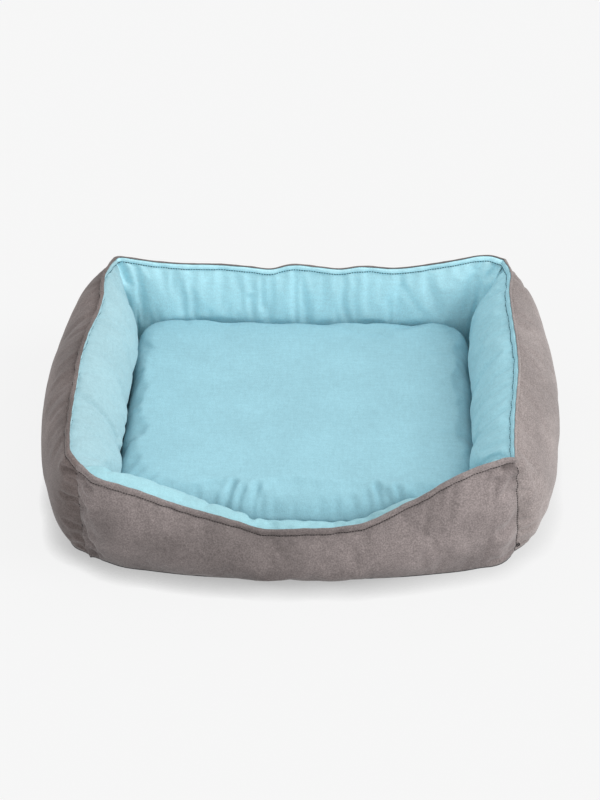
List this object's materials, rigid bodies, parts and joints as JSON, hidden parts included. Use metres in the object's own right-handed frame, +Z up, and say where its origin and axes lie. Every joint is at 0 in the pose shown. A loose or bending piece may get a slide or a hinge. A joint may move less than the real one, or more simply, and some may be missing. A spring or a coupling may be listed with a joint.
{
  "type": "pet cushion bed",
  "caption": "Rectangular pet bed with stuffed fabric walls, a lowered front entrance and a loose cushion that lifts out",
  "frame": {"origin": "on the floor, under the middle of the bed", "axes": "+Z up, +X to the right seen from the entrance, +Y from the entrance to the back wall"},
  "size_m": [0.593, 0.479, 0.1521],
  "materials": {
    "outer_fabric": "brushed suede-like plush, warm grey",
    "lining_fabric": "short plush, light blue",
    "cushion_fabric": "short plush, light blue",
    "fibre_filling": "loose white polyester fibre",
    "base_fabric": "plain woven polyester, dark",
    "grip_rubber": "soft moulded dots, matte",
    "dark_thread": "twisted polyester sewing thread"
  },
  "bodies": {
    "surround": {"front_outer_panel": "outer_fabric", "back_outer_panel": "outer_fabric", "left_outer_panel": "outer_fabric", "right_outer_panel": "outer_fabric", "front_lining_panel": "lining_fabric", "back_lining_panel": "lining_fabric", "left_lining_panel": "lining_fabric", "right_lining_panel": "lining_fabric", "front_wall_filling": "fibre_filling", "back_wall_filling": "fibre_filling", "left_wall_filling": "fibre_filling", "right_wall_filling": "fibre_filling", "base_cloth": "base_fabric", "base_wadding": "fibre_filling", "floor_lining": "lining_fabric", "grip_dots": "grip_rubber", "corner_thread_knot": "dark_thread"},
    "cushion": {"cushion_top_panel": "cushion_fabric", "cushion_bottom_panel": "cushion_fabric", "cushion_filling": "fibre_filling"}
  },
  "joints": [
    {"name": "cushion_lift", "type": "slide", "parent": "surround", "child": "cushion", "axis": [0, 0, 1], "range_m": [0, 0.16]}
  ]
}
